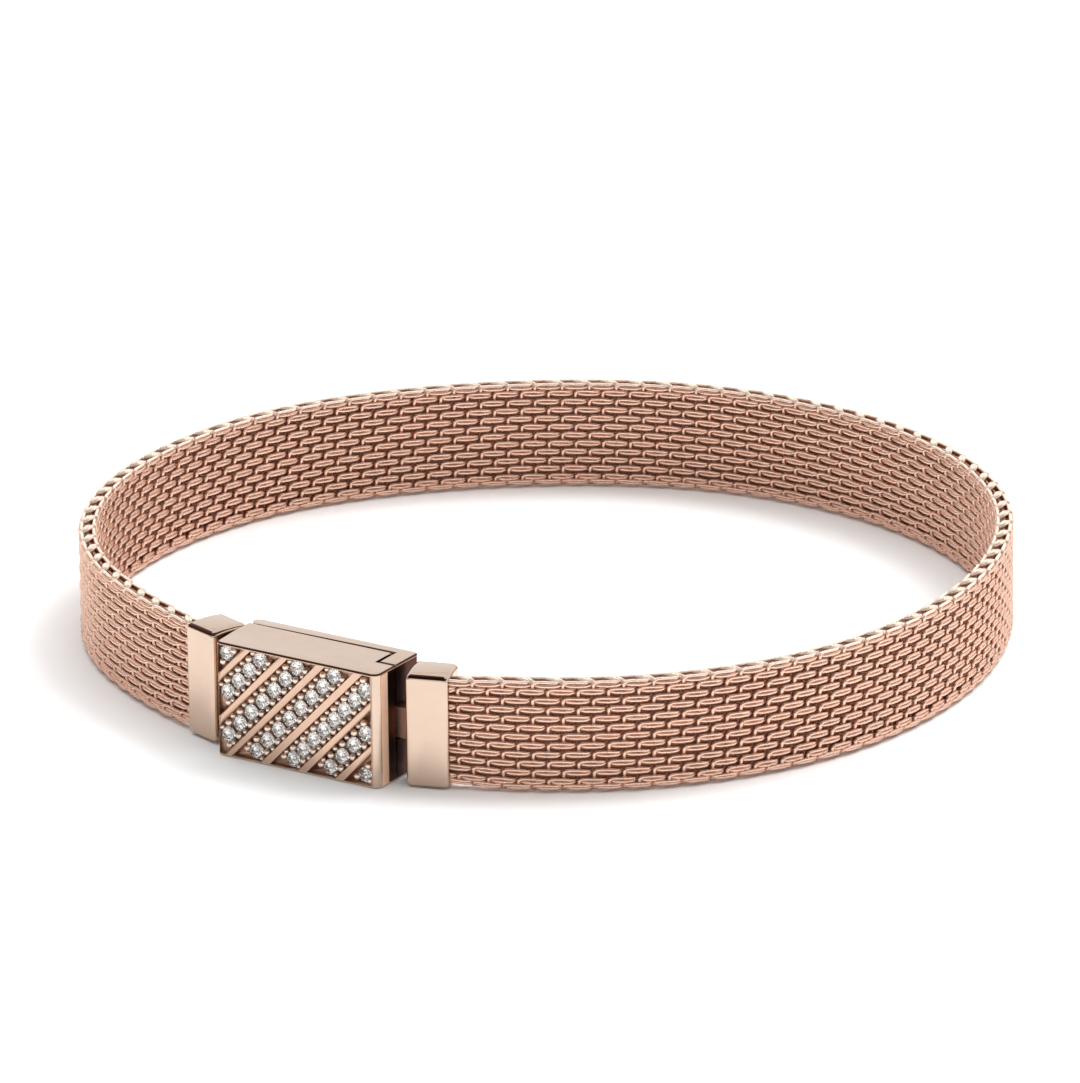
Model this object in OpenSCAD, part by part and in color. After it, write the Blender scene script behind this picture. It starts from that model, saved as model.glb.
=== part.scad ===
// Mesh bracelet with a rectangular stone-set clasp, lying closed on a table.
// Millimetres, +Z up, origin on the table under the middle of the whole bracelet.
// The clasp's stone face looks towards -Y. Seen from above, the band leaves the right
// end cap and runs anticlockwise round the wrist opening to the left end cap.

/* [Loop] */
// Mean radius of the band's centre line
loop_r = 31.4; // [28:0.1:36]
// Distance from the loop's centre to the stone face
face_y = 32.2; // [29:0.1:37]

/* [Band] */
// Height of the woven band
band_h = 7.8; // [5:0.1:7.9]
// Thickness of the woven band
band_t = 1.25; // [1:0.05:1.6]
// Step at the band's upper and lower edges
band_edge = 0.2; // [0.1:0.05:0.3]
// Height of the squeezed band end inside an end cap
band_end_h = 6.8; // [4:0.1:7]
// Thickness of the squeezed band end
band_end_t = 0.9; // [0.6:0.05:1]
// Length of the band end inside an end cap
band_end_l = 1.4; // [1:0.1:1.5]

/* [Clasp box] */
// Length of the clasp box along the band
box_l = 13.1; // [12.6:0.1:16]
// Height of the clasp box
box_h = 8.2; // [8:0.1:9]
// Depth of the clasp box with its lid
box_d = 5.3; // [5:0.1:7]
// Thickness of the stone plate
plate_t = 1.35; // [1.2:0.05:1.8]
// Thickness of the top and bottom walls
wall_t = 0.8; // [0.5:0.05:1.2]
// Thickness of the left end wall
left_wall_t = 1; // [0.7:0.05:1.2]
// Thickness of the right end wall and of the lid's catch leg
right_wall_t = 1.5; // [1:0.05:1.8]
// Rounding of the upright corners
corner_r = 0.45; // [0.2:0.05:0.5]
// Rounding of the upright corner beside the tongue
front_corner_r = 0.6; // [0.3:0.05:1]

/* [Lid] */
// Thickness of the lid
lid_t = 1; // [0.9:0.05:1.4]
// Reach of the catch leg past the lid
leg_reach = 2; // [1.6:0.05:2.2]
// Width of the parting line between lid and box
seam = 0.1; // [0.06:0.01:0.2]

/* [Hinge] */
// Diameter of the hinge pin
pin_d = 0.5; // [0.4:0.02:0.6]
// Clearance round the pin in the lid
pin_gap = 0.03; // [0.02:0.005:0.06]
// Clearance round the pin in the box's own knuckle
pin_seat_gap = 0.01; // [0.01:0.005:0.02]
// Height of the box's knuckle
knuckle_h = 3.2; // [2:0.1:4]
// Metal left above the blind pin hole
pin_cover = 0.8; // [0.5:0.1:1.5]
// Depth of the pin's lower end inside its hole
pin_sink = 0.2; // [0.1:0.05:0.5]

/* [End caps] */
// Length of an end cap along the band
cap_l = 3; // [2.6:0.05:4]
// Depth of an end cap, from front to back
cap_d = 3.1; // [2.6:0.05:3.6]
// Height of an end cap over its domed top and bottom
cap_h = 8.2; // [8:0.1:9]
// Rise of the domed top and bottom
cap_dome = 0.15; // [0.05:0.01:0.3]
// Rounding of the end cap's corners, seen from the front
cap_corner_r = 0.4; // [0.2:0.05:0.8]
// How far an end cap stands proud of the band's outer face
cap_lip = 0.35; // [0.3:0.05:0.6]
// Turn of each end cap towards the wrist
cap_yaw = 18; // [10:1:24]
// Gap between the clasp box and the right end cap at their inner corners
cap_gap = 0.35; // [0.3:0.05:1]
// The same gap at the left end cap
left_cap_gap = 0.15; // [0.1:0.05:0.5]
// Distance from the stone face back to the end cap's inner front corner
cap_step = 1.35; // [1:0.05:1.8]

/* [Links] */
// Height of a link's neck
neck_h = 2.2; // [1.6:0.1:3]
// Thickness of a link's neck
neck_t = 1.1; // [0.8:0.05:1.3]
// Height of a link's cross head
head_h = 5; // [3.6:0.1:6]
// Length of a link's cross head along the band
head_l = 1.2; // [0.8:0.1:2]
// How far the cross head reaches forward of the neck
head_reach = 0.75; // [0.5:0.05:0.9]
// How far the cross head reaches back of the neck
head_back = 0.2; // [0.1:0.05:0.4]
// Depth of a link's foot inside its end cap
foot_l = 0.8; // [0.5:0.05:1]
// Clearance between fitted pieces
fit_gap = 0.05; // [0.03:0.01:0.08]
// Running clearance between moving pieces
run_gap = 0.12; // [0.08:0.01:0.15]

/* [Stones] */
// Girdle diameter of a stone
stone_d = 1.15; // [0.9:0.01:1.18]
// Height of a stone's girdle above the channel floor
stone_lift = 0.2; // [0.15:0.01:0.25]
// Distance from the frame's edge to the nearest stone centre of a row
stone_inset = 0.62; // [0.6:0.01:0.66]
// Distance from a corner stone's centre to each side of its corner
corner_inset = 0.645; // [0.62:0.005:0.7]
// Table width as a share of the girdle
table_share = 0.56; // [0.5:0.01:0.62]
// Crown angle
crown_angle = 34.5; // [30:0.5:38]
// Pavilion angle
pavilion_angle = 40.5; // [38:0.5:42]

/* [Stone plate] */
// Width of the frame round the stones
frame_w = 0.16; // [0.1:0.02:0.3]
// Plain metal between the stones and the rounded corner
plain_w = 0.1; // [0.05:0.05:0.6]
// Depth of the channels
channel_depth = 0.5; // [0.4:0.05:0.55]
// Width of a slanting bar
bar_w = 0.48; // [0.3:0.02:0.56]
// Slant of the bars above the horizontal
bar_angle = 46; // [44:0.5:50]
// How far the bars lie right of the middle of the stone field
bar_shift = -0.1; // [-0.1:0.05:0.1]

/* [Hidden] */
$fn = 48;
// Overshoot of a cut past a face
eps = 0.02;

// Upright position of the pieces: all are centred on one height
mid_z = max(box_h, cap_h, band_h) / 2;

// Clasp box, measured from the loop's centre
front_y = -face_y;
back_y = front_y + box_d;
box_x = box_l / 2;
lid_y = back_y - lid_t;
rim_y = lid_y - seam;
cavity_front_y = front_y + plate_t;
cavity_h = box_h - 2 * wall_t;
leg_front_y = lid_y - leg_reach;
leg_x = box_x - right_wall_t;
pin_x = -box_x + lid_t / 2;
pin_y = back_y - lid_t / 2;

// Links: the neck lies behind the fixed part of the right end wall
neck_front_y = leg_front_y + run_gap + seam;
neck_back_y = neck_front_y + neck_t;
head_front_y = neck_front_y - head_reach;
head_back_y = min(neck_back_y + head_back, lid_y - seam - run_gap);

// Right end cap's own axes: cap_u runs along the band, cap_v points outwards
cap_u = [cos(cap_yaw), sin(cap_yaw)];
cap_v = [sin(cap_yaw), -cos(cap_yaw)];
cap_corner = [box_x + cap_gap + cap_d * sin(cap_yaw), front_y + cap_step];
cap_mid = cap_corner + cap_u * cap_l / 2 - cap_v * cap_d / 2;
// Where the band's centre line leaves the right end cap, and its seat in the cap
band_in = cap_d / 2 - cap_lip - band_t / 2;
band_exit = cap_mid + cap_u * (cap_l / 2 + fit_gap) + cap_v * band_in;

// Radius of the centre line at equal steps of angle from the right end cap round to the
// left one, as shares of loop_r
knot_shares = [1.004, 0.998, 1.014, 0.996, 0.967, 1.016, 1.033];
knot_count = len(knot_shares);
exit_angle = atan2(band_exit.y, band_exit.x);
knot_step = (180 - 2 * exit_angle) / (knot_count + 1);
// Largest turn between neighbouring points of the band's outline
facet_turn = 4;
// Sides of the large circles that the end caps' domes are cut from
dome_sides = 200;

// Stone shares of the girdle radius: half of the girdle's thickness is taken from the
// diameter, and the lower girdle facets end at lower_share from the middle
girdle_share = 0.015;
lower_share = 0.24;
star_share = (1 + table_share) / 2;
// Facets round a stone, and half of the turn between two of them
stone_facets = 8;
half_facet = 180 / stone_facets;

function unit(v) = v / norm(v);
// The left end cap mirrors the right one, and lies nearer the box by left_shift
left_shift = cap_gap - left_cap_gap;
function to_left(v) = [left_shift - v.x, v.y];
function polar(r, a) = [r * cos(a), r * sin(a)];

// Knots of the centre line, and the travel direction at each knot
knots = [
    band_exit,
    for (i = [0:knot_count - 1]) polar(loop_r * knot_shares[i], exit_angle + (i + 1) * knot_step),
    to_left(band_exit)
];
last_knot = len(knots) - 1;
function through(a, b, c) = unit((b - a) / ((b - a) * (b - a)) + (c - b) / ((c - b) * (c - b)));
function heading(i) =
    i == 0 ? cap_u :
    i == last_knot ? [cap_u.x, -cap_u.y] :
    through(knots[i - 1], knots[i], knots[i + 1]);

// Two arcs that meet smoothly join each pair of knots. joint_reach is the distance from
// each knot to the corner of its arc's two tangents.
function joint_reach(p, t, q, s) =
    let (v = q - p, k = 2 * (1 - t * s), m = v * (t + s))
    (sqrt(m * m + k * (v * v)) - m) / k;
function joint_point(p, t, q, s) = let (d = joint_reach(p, t, q, s)) (p + d * t + q - d * s) / 2;
function joint_heading(p, t, q, s) = let (d = joint_reach(p, t, q, s)) unit(q - d * s - p - d * t);

// One arc as [centre, radius, start angle, sweep], from point p with heading t to point q
function arc(p, t, q) =
    let (
        v = q - p,
        half = atan2(cross(t, v), t * v),
        r = norm(v) / (2 * sin(half)),
        c = p + r * [-t.y, t.x]
    )
    [c, r, atan2(p.y - c.y, p.x - c.x), 2 * half];
function arc_pair(i) =
    let (
        p = knots[i],
        q = knots[i + 1],
        t = heading(i),
        s = heading(i + 1),
        m = joint_point(p, t, q, s)
    )
    [arc(p, t, m), arc(m, joint_heading(p, t, q, s), q)];
arcs = [for (i = [0:last_knot - 1]) for (a = arc_pair(i)) a];

// Furthest reach of the band's outer face in the direction of angle g
function arc_holds(a, g) = ((g - a[2]) % 360 + 360) % 360 <= a[3];
function arc_reach(a, g) =
    let (r = a[1] + band_t / 2, d = [cos(g), sin(g)])
    arc_holds(a, g) ? a[0] * d + r
        : max((a[0] + polar(r, a[2])) * d, (a[0] + polar(r, a[2] + a[3])) * d);
function reach(g) = max([for (a = arcs) arc_reach(a, g)]);

// Middle of the bracelet's footprint, which becomes the origin
mid_x = (reach(0) - reach(180)) / 2;
mid_y = (reach(90) + front_y) / 2;

// Stone field on the plate: its lower left corner is its own origin
field_l = box_l - 2 * frame_w - plain_w - front_corner_r / 2;
field_h = box_h - 2 * frame_w;
field_x = -box_x + frame_w;
channel_y = front_y + channel_depth;
girdle_y = channel_y - stone_lift;
stone_r = stone_d / 2;
half_girdle = stone_d * girdle_share;
seat_r = stone_r - (stone_lift - half_girdle) / tan(pavilion_angle) + fit_gap / 2;
seat_depth = seat_r * tan(pavilion_angle) + 2 * fit_gap;

// Stones in each channel, from the upper left corner to the lower right one
channel_counts = [1, 4, 7, 8, 8, 4, 1];
channel_last = len(channel_counts) - 1;

// Slanting channels and bars. A bar takes bar_run of a level line, and a corner is a right
// triangle whose level side, corner_leg, is a fixed share of its inscribed circle's radius.
bar_rise = tan(bar_angle);
bar_lean = 1 / bar_rise;
bar_run = bar_w / sin(bar_angle);
corner_share = (1 + bar_rise - sqrt(1 + bar_rise * bar_rise)) / 2;
corner_leg = corner_inset / corner_share;
bar_span = field_l + field_h * bar_lean - 2 * corner_leg - bar_run;
bar_pitch = bar_span / (channel_last - 1);
foot_mid = (field_l - field_h * bar_lean) / 2 + bar_shift;
function channel_foot(k) = foot_mid + (k - channel_last / 2) * bar_pitch;
upper_inset = (corner_leg + bar_shift) * corner_share;
lower_inset = (corner_leg - bar_shift) * corner_share;

// Each channel's row of stones runs between the two points where its middle line leaves
// the field, less the inset. A corner stone touches no side of its corner.
function run_low(k) = max(stone_inset, (stone_inset - channel_foot(k)) / bar_lean);
function run_high(k) =
    min(field_h - stone_inset, (field_l - stone_inset - channel_foot(k)) / bar_lean);
function row_stone(k, j) =
    let (
        last = channel_counts[k] - 1,
        z = run_low(k) + (run_high(k) - run_low(k)) * j / max(1, last)
    )
    [channel_foot(k) + z * bar_lean, z];
function channel_stones(k) =
    k == 0 ? [[upper_inset, field_h - upper_inset]] :
    k == channel_last ? [[field_l - lower_inset, lower_inset]] :
    [for (j = [0:channel_counts[k] - 1]) row_stone(k, j)];
stones = [for (k = [0:channel_last]) for (s = channel_stones(k)) s];
function stone_name(i) = str("stone_", i < 9 ? "0" : "", i + 1);

rose = "#c98f76";
pale_rose = "#dcb193";
clear = "#eef1f2";

// Moves a piece drawn from the loop's centre to its place on the table
module place() {
    translate([-mid_x, -mid_y, 0]) children();
}

// Mirrors a piece of the right end to the left end
module on_left() {
    translate([left_shift, 0, 0]) mirror([1, 0, 0]) children();
}

// A block of size s with its lowest corner at p
module block(p, s) {
    translate(p) cube(s);
}

// Points along the whole centre line, each moved outwards by d
function arc_points(a, d, from) =
    let (n = ceil(a[3] / facet_turn))
    [for (i = [from:n]) a[0] + polar(a[1] + d, a[2] + a[3] * i / n)];
function line_points(d) =
    [for (i = [0:len(arcs) - 1]) each arc_points(arcs[i], d, i == 0 ? 0 : 1)];
function reversed(v) = [for (i = [len(v) - 1:-1:0]) v[i]];

// The band's strip from above, of thickness t, h high
module strip(t, h) {
    translate([0, 0, mid_z - h / 2])
        linear_extrude(h)
            polygon(concat(line_points(t / 2), reversed(line_points(-t / 2))));
}

// The squeezed end of the band that sits in the right end cap, rooted in the band
module band_end() {
    root = band_t / 2;
    translate([band_exit.x, band_exit.y, mid_z])
        rotate([0, 0, cap_yaw])
            translate([(root - band_end_l) / 2, 0, 0])
                cube([band_end_l + root, band_end_t, band_end_h], center = true);
}

module mesh_band() {
    color(rose)
        place() {
            strip(band_t, band_h - 2 * band_edge);
            strip(band_t - 2 * band_edge, band_h);
            band_end();
            on_left() band_end();
        }
}

// Side outline of an end cap: flat front and back, domed top and bottom
module cap_side() {
    r = (cap_d * cap_d / 4 + cap_dome * cap_dome) / (2 * cap_dome);
    intersection() {
        square([cap_d, cap_h], center = true);
        translate([0, cap_h / 2 - r]) circle(r, $fn = dome_sides);
        translate([0, r - cap_h / 2]) circle(r, $fn = dome_sides);
    }
}

// Front outline of an end cap, with rounded corners
module cap_front() {
    x = cap_l / 2 - cap_corner_r;
    z = cap_h / 2 - cap_corner_r;
    square([cap_l, 2 * z], center = true);
    square([2 * x, cap_h], center = true);
    for (i = [-1, 1]) for (j = [-1, 1]) translate([i * x, j * z]) circle(cap_corner_r);
}

// The right end cap about its own centre: +X runs along the band, -Y faces outwards
module cap_body() {
    intersection() {
        rotate([90, 0, 90]) translate([0, 0, -cap_l / 2]) linear_extrude(cap_l) cap_side();
        rotate([90, 0, 0]) translate([0, 0, -cap_d / 2]) linear_extrude(cap_d) cap_front();
    }
}

// The mouth that holds the squeezed end of the band
module band_mouth() {
    depth = band_end_l + fit_gap;
    translate([cap_l / 2 - depth, -band_in - band_end_t / 2 - fit_gap, -band_end_h / 2 - fit_gap])
        cube([depth + eps, band_end_t + 2 * fit_gap, band_end_h + 2 * fit_gap]);
}

// Where the neck's front corner meets the end cap's inner face
foot_x = cap_corner.x - (neck_front_y - cap_corner.y) * tan(cap_yaw);
foot_end = foot_x + foot_l;

// A link's neck with its foot, grown by gap on every side but the clasp's
module neck(gap) {
    block(
        [leg_x - fit_gap, neck_front_y - gap, mid_z - neck_h / 2 - gap],
        [foot_end - leg_x + fit_gap + gap, neck_t + 2 * gap, neck_h + 2 * gap]
    );
}

module end_cap() {
    difference() {
        translate([cap_mid.x, cap_mid.y, mid_z])
            rotate([0, 0, cap_yaw]) {
                difference() {
                    cap_body();
                    band_mouth();
                }
            }
        neck(fit_gap);
    }
}

module right_end_cap() {
    color(pale_rose) place() end_cap();
}

module left_end_cap() {
    color(pale_rose) place() on_left() end_cap();
}

// Neck and cross head. The head lies inside the box behind an end wall of thickness wall,
// whose end cap lies shift nearer the box than the right one.
module link(wall, shift) {
    head_x = box_x + shift - wall - run_gap - head_l;
    block(
        [head_x, head_front_y, mid_z - head_h / 2],
        [head_l, head_back_y - head_front_y, head_h]
    );
    block(
        [head_x + head_l / 2, neck_front_y, mid_z - neck_h / 2],
        [foot_end - head_x - head_l / 2, neck_t, neck_h]
    );
}

module tongue() {
    color(rose) place() link(right_wall_t, 0);
}

module left_link() {
    color(rose) place() on_left() link(left_wall_t, left_shift);
}

// Outline of the clasp box from above, closed at the back
module box_outline() {
    difference() {
        block_square([-box_x, front_y], [box_l, box_d]);
        corner_cut([-box_x, front_y], corner_r, 0);
        corner_cut([box_x, front_y], front_corner_r, 90);
        corner_cut([box_x, back_y], corner_r, 180);
    }
}

module block_square(p, s) {
    translate(p) square(s);
}

// What a rounding of radius r takes off the corner at p, turned by a
module corner_cut(p, r, a) {
    translate(p)
        rotate(a)
            difference() {
                translate([-r, -r]) square(2 * r);
                translate([r, r]) circle(r);
            }
}

// Slanting bars of the stone field, in the field's own coordinates
module bars() {
    for (k = [0:channel_last - 1])
        translate([channel_foot(k) + bar_pitch / 2, 0])
            rotate(bar_angle)
                translate([-box_l, -bar_w / 2]) square([3 * box_l, bar_w]);
}

module channels() {
    difference() {
        square([field_l, field_h]);
        bars();
    }
}

// Places a piece drawn on the stone field: its X runs along the face, its Y up the face
// and its Z out of the face, from the channel floor
module on_field(y) {
    translate([field_x, y, mid_z - field_h / 2]) rotate([90, 0, 0]) children();
}

module clasp_box() {
    color(pale_rose)
        place() {
            difference() {
                translate([0, 0, mid_z - box_h / 2]) linear_extrude(box_h) box_outline();
                // room for the lid over the whole back
                block(
                    [-box_x - eps, rim_y, mid_z - box_h / 2 - eps],
                    [box_l + 2 * eps, box_d, box_h + 2 * eps]
                );
                // room for the lid's catch leg
                block(
                    [leg_x - seam, leg_front_y - seam, mid_z - box_h / 2 - eps],
                    [box_l, box_d, box_h + 2 * eps]
                );
                // the hollow, open at the back
                block(
                    [-box_x + left_wall_t, cavity_front_y, mid_z - cavity_h / 2],
                    [box_l - left_wall_t - right_wall_t, box_d, cavity_h]
                );
                // hole for the left link's neck
                on_left() neck(run_gap);
                // sunk channels and stone seats
                on_field(channel_y)
                    linear_extrude(channel_depth + eps) channels();
                for (s = stones)
                    on_field(channel_y)
                        translate([s.x, s.y, -seat_depth]) cylinder(r = seat_r, h = seat_depth + eps);
            }
            knuckle();
        }
}

// The box's knuckle: an upright eye on the left end wall that the pin passes through
module knuckle() {
    difference() {
        translate([0, 0, mid_z - knuckle_h / 2])
            linear_extrude(knuckle_h) {
                translate([pin_x, pin_y]) circle(lid_t / 2);
                block_square([-box_x, rim_y - wall_t / 2], [lid_t, wall_t / 2 + seam + lid_t / 2]);
            }
        pin_hole(pin_seat_gap);
    }
}

// The pin's room, grown by gap
module pin_hole(gap) {
    translate([pin_x, pin_y, mid_z - box_h / 2 - eps])
        cylinder(d = pin_d + 2 * gap, h = box_h - pin_cover + eps);
}

// Outline of the lid from above: a plate with a round hinge end and the catch leg
module lid_outline() {
    difference() {
        union() {
            translate([pin_x, pin_y]) circle(lid_t / 2);
            block_square([pin_x, lid_y], [box_x - pin_x, lid_t]);
            block_square([leg_x, leg_front_y], [right_wall_t, leg_reach + lid_t / 2]);
        }
        corner_cut([box_x, back_y], corner_r, 180);
    }
}

module clasp_lid() {
    notch_h = knuckle_h + 2 * seam;
    color(pale_rose)
        place()
            difference() {
                translate([0, 0, mid_z - box_h / 2]) linear_extrude(box_h) lid_outline();
                // room for the box's knuckle
                block(
                    [-box_x - eps, back_y - box_d, mid_z - notch_h / 2],
                    [lid_t + run_gap + eps, 2 * box_d, notch_h]
                );
                // slot that closes over the tongue's neck
                block(
                    [leg_x - eps, leg_front_y - eps, mid_z - neck_h / 2 - run_gap],
                    [right_wall_t + 2 * eps, neck_back_y + run_gap - leg_front_y + eps, neck_h + 2 * run_gap]
                );
                pin_hole(pin_gap);
            }
}

module hinge_pin() {
    color(rose)
        place()
            translate([pin_x, pin_y, mid_z - box_h / 2 + pin_sink])
                cylinder(d = pin_d, h = box_h - pin_cover - 2 * pin_sink);
}

// A round cut stone about its girdle's centre, table towards +Z: an eight-sided table,
// eight star facets, eight kites and sixteen girdle facets above, and below them sixteen
// lower girdle facets and eight mains that meet in a point
module round_stone() {
    n = stone_facets;
    // Height of a facet corner that lies r from the axis of a cone of angle a; a corner
    // halfway between two mains lies nearer the axis than the cone's edge there
    table_r = stone_r * table_share / cos(half_facet);
    star_r = stone_r * star_share / cos(half_facet);
    lower_r = stone_r * lower_share;
    table_z = half_girdle + (stone_r - table_r) * tan(crown_angle);
    star_z = half_girdle + (stone_r - star_r * cos(half_facet)) * tan(crown_angle);
    main_z = -half_girdle - (stone_r - lower_r * cos(half_facet)) * tan(pavilion_angle);
    point_z = -half_girdle - stone_r * tan(pavilion_angle);

    table = [for (i = [0:n - 1]) [each polar(table_r, 2 * i * half_facet), table_z]];
    star = [for (i = [0:n - 1]) [each polar(star_r, (2 * i + 1) * half_facet), star_z]];
    upper = [for (i = [0:2 * n - 1]) [each polar(stone_r, i * half_facet), half_girdle]];
    lower = [for (i = [0:2 * n - 1]) [each polar(stone_r, i * half_facet), -half_girdle]];
    mains = [for (i = [0:n - 1]) [each polar(lower_r, (2 * i + 1) * half_facet), main_z]];

    // Where each ring of corners starts in the list of points
    at_star = n;
    at_upper = 2 * n;
    at_lower = 4 * n;
    at_main = 6 * n;
    at_point = 7 * n;
    polyhedron(
        points = concat(table, star, upper, lower, mains, [[0, 0, point_z]]),
        faces = concat(
            [reversed([for (i = [0:n - 1]) i])],
            [for (i = [0:n - 1]) [i, (i + 1) % n, at_star + i]],
            [for (i = [0:n - 1]) [i, at_star + i, at_upper + 2 * i]],
            [for (i = [0:n - 1]) [i, at_upper + 2 * i, at_star + (i + n - 1) % n]],
            [for (i = [0:n - 1]) [at_star + i, at_upper + 2 * i + 1, at_upper + 2 * i]],
            [
                for (i = [0:n - 1])
                    [at_star + i, at_upper + (2 * i + 2) % (2 * n), at_upper + 2 * i + 1]
            ],
            [
                for (i = [0:2 * n - 1])
                    let (j = (i + 1) % (2 * n))
                    [at_upper + i, at_upper + j, at_lower + j, at_lower + i]
            ],
            [for (i = [0:n - 1]) [at_main + i, at_lower + 2 * i, at_lower + 2 * i + 1]],
            [
                for (i = [0:n - 1])
                    [at_main + i, at_lower + 2 * i + 1, at_lower + (2 * i + 2) % (2 * n)]
            ],
            [for (i = [0:n - 1]) [at_point, at_lower + 2 * i, at_main + i]],
            [for (i = [0:n - 1]) [at_point, at_main + (i + n - 1) % n, at_lower + 2 * i]]
        )
    );
}

module stone(s) {
    color(clear) place() on_field(girdle_y) translate([s.x, s.y, 0]) round_stone();
}

mesh_band();
left_end_cap();
right_end_cap();
left_link();
tongue();
clasp_box();
clasp_lid();
hinge_pin();
for (i = [0:len(stones) - 1])
    stone(stones[i]);
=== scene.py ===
"""A rose gold mesh bracelet with a stone-set box clasp, lying closed on a pale floor."""
import math

import bpy
from bpy.props import FloatProperty, FloatVectorProperty, IntProperty, PointerProperty
from mathutils import Matrix, Vector


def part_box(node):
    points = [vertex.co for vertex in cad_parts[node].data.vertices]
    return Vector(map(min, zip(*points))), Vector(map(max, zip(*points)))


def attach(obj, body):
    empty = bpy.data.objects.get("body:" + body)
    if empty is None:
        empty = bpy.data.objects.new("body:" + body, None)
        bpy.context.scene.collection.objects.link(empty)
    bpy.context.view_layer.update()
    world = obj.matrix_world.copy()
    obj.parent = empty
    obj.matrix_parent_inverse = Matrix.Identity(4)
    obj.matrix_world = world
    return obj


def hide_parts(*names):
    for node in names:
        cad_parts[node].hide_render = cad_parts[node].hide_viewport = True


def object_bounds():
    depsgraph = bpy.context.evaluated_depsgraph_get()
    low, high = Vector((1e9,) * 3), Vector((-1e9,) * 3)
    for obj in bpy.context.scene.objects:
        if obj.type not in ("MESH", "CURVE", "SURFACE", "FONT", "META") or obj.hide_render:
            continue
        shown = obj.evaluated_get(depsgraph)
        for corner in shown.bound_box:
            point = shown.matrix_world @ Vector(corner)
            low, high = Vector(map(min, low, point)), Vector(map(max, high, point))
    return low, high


bl_info = {
    "name": "Mesh Bracelet",
    "version": (1, 0, 0),
    "blender": (4, 5, 0),
    "location": "View3D > Sidebar > Bracelet",
    "description": "Dresses the bracelet's solids with woven wire, polished metal and cut stones",
    "category": "Object",
}

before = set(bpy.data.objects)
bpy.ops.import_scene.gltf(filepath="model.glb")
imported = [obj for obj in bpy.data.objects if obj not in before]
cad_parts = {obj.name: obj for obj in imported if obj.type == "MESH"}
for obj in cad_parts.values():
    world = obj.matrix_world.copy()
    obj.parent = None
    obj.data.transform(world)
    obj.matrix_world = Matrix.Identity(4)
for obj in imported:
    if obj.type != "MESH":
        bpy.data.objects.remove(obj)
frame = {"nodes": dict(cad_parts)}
CAD_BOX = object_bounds()
MM = 0.001

BAND = "mesh_band"
RIGHT_CAP = "right_end_cap"
LEFT_CAP = "left_end_cap"
BODY = "bracelet"
LID = "lid"
STONES = sorted(name for name in frame["nodes"] if name.startswith("stone_"))

# What the settings share: small lengths, and colours with alpha
FINE = {"unit": "LENGTH", "precision": 6}
COLOUR = {"subtype": "COLOR", "size": 4, "min": 0.0, "max": 1.0}

# The point that the camera turns about, past the loop's middle
AIM_OFFSET = Vector((0.43, 0.14, 0.2)) * MM

# Lamps: widths of the two round ones, distance of the walls, and the sloping roof panel
FLOOR_LAMP_WIDTH = 0.7
FILL_LAMP_WIDTH = 1.6
WALL_DISTANCE = 1.2
ROOF_ELEVATION = math.radians(60)
ROOF_DEPTH = 0.95 * WALL_DISTANCE

# Metals: clouds between two shares of the colour, and level hairlines that change the roughness
CLOUD_EDGES = (0.35, 0.65)
CLOUD_TINTS = (0.98, 1.02)
HAIR_ROUGHNESS = (0.75, 1.35)

# Part of a unit vector that lies along a direction, from all but parallel to just leaning
ALONG = 0.99
DOMED = 0.97
NEARLY = 0.9
ASLANT = 0.3
TOWARDS = 0.1

# Cuts that shape a cap's dome, as shares of half its depth, and a corner stone's beads, as angles
DOME_CUTS = (-0.7, -0.4, -0.13, 0.13, 0.4, 0.7)
CORNER_BEADS = (135, 22, 248)


class StageSettings(bpy.types.PropertyGroup):
    azimuth: FloatProperty(
        name="Camera azimuth", description="Turn of the camera round the bracelet",
        default=math.radians(32.5), subtype="ANGLE")
    elevation: FloatProperty(
        name="Camera elevation", description="Angle of the camera above the floor",
        default=math.radians(20.37), subtype="ANGLE")
    roll: FloatProperty(
        name="Camera roll", description="Turn of the camera about its own line of sight",
        default=math.radians(-0.64), subtype="ANGLE")
    distance: FloatProperty(
        name="Camera distance", description="Distance from the camera to the middle of the loop",
        default=0.6855, unit="LENGTH")
    lens: FloatProperty(
        name="Focal length", description="Focal length on a sensor 36 mm wide", default=325.0,
        unit="CAMERA")
    look_up: FloatProperty(
        name="Look up", description="How far above the middle of the loop the camera aims",
        default=5.98 * MM, unit="LENGTH")
    look_right: FloatProperty(
        name="Look right", description="How far right of the middle of the loop the camera aims",
        default=-0.86 * MM, unit="LENGTH")
    floor_size: FloatProperty(
        name="Floor size", description="Side of the square floor", default=6.0, unit="LENGTH")
    floor_light: FloatProperty(
        name="Floor light", description="Power of the soft light on the floor", default=6.9, min=0.0,
        unit="POWER")
    light_azimuth: FloatProperty(
        name="Floor light azimuth", description="Turn of the floor light from the camera",
        default=math.radians(120), subtype="ANGLE")
    light_elevation: FloatProperty(
        name="Floor light elevation", description="Angle of the floor light above the floor",
        default=math.radians(52), subtype="ANGLE")
    fill_light: FloatProperty(
        name="Fill light", description="Power of the wide soft light straight above", default=9.2,
        min=0.0, unit="POWER")
    wall_lights: FloatVectorProperty(
        name="Wall lights", description="Brightness of the low soft walls behind the camera, on its "
        "right, behind the bracelet and on its left", default=(0.98, 0.96, 1.02, 0.44), size=4, min=0.0)
    roof_light: FloatProperty(
        name="Roof light", description="Brightness of the soft panel above the far wall", default=1.0,
        min=0.0)
    wall_top: FloatProperty(
        name="Wall top", description="Elevation of the upper edge of the soft walls",
        default=math.radians(34), subtype="ANGLE")
    front_top: FloatProperty(
        name="Front wall top", description="Elevation of the upper edge of the wall behind the camera",
        default=math.radians(27), subtype="ANGLE")
    dim: FloatProperty(
        name="Room light", description="Brightness of the dark room above the soft walls", default=0.06,
        min=0.0)


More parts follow.
